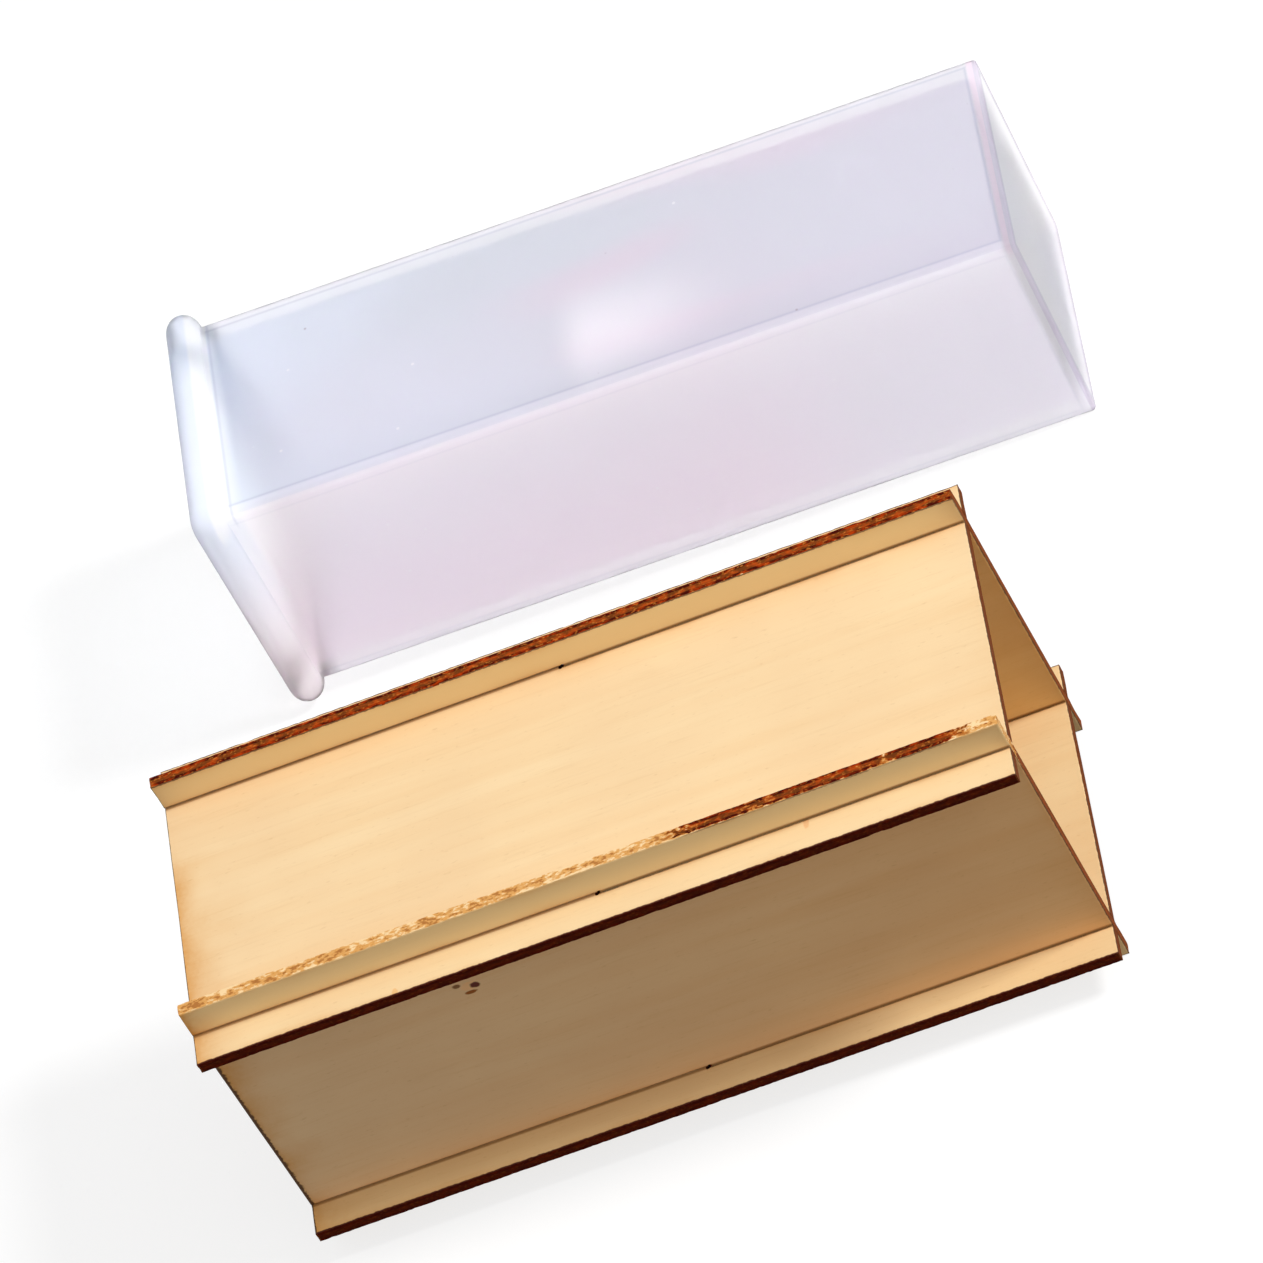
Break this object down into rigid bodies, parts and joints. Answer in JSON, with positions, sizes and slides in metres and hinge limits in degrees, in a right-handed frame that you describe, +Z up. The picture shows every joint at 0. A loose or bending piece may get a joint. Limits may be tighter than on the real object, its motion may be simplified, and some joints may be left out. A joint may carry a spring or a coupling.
{
  "type": "soap loaf mould",
  "caption": "Square-column soap mould: a plywood tube of half-lapped panels, with a drafted, rimmed, translucent silicone liner that slides into it.",
  "frame": {"origin": "on the table, below the middle of the layout's bounding box: plywood box in front, liner lying behind it", "axes": "+X along the box's tube, towards the end where the top and bottom panels are slotted and the liner's closed end comes; +Y from the box back to the liner; +Z up, off the table"},
  "size_m": [0.221, 0.2418, 0.0898],
  "materials": {
    "plywood": "raw sanded plywood with charred laser-cut edges",
    "silicone": "frosted translucent silicone"
  },
  "bodies": {
    "front_panel": {"front_panel": "plywood"},
    "back_panel": {"back_panel": "plywood"},
    "top_panel": {"top_panel": "plywood"},
    "bottom_panel": {"bottom_panel": "plywood"},
    "silicone_liner": {"silicone_liner": "silicone"}
  },
  "joints": [
    {"name": "back_panel_slide", "type": "slide", "parent": "front_panel", "child": "back_panel", "axis": [1, 0, 0], "range_m": [0, 0.1]},
    {"name": "top_panel_slide", "type": "slide", "parent": "front_panel", "child": "top_panel", "axis": [-1, 0, 0], "range_m": [0, 0.1]},
    {"name": "bottom_panel_slide", "type": "slide", "parent": "front_panel", "child": "bottom_panel", "axis": [-1, 0, 0], "range_m": [0, 0.1]},
    {"name": "liner_lift", "type": "slide", "parent": "front_panel", "child": "silicone_liner", "axis": [0, 0, 1], "range_m": [0, 0.12]}
  ]
}
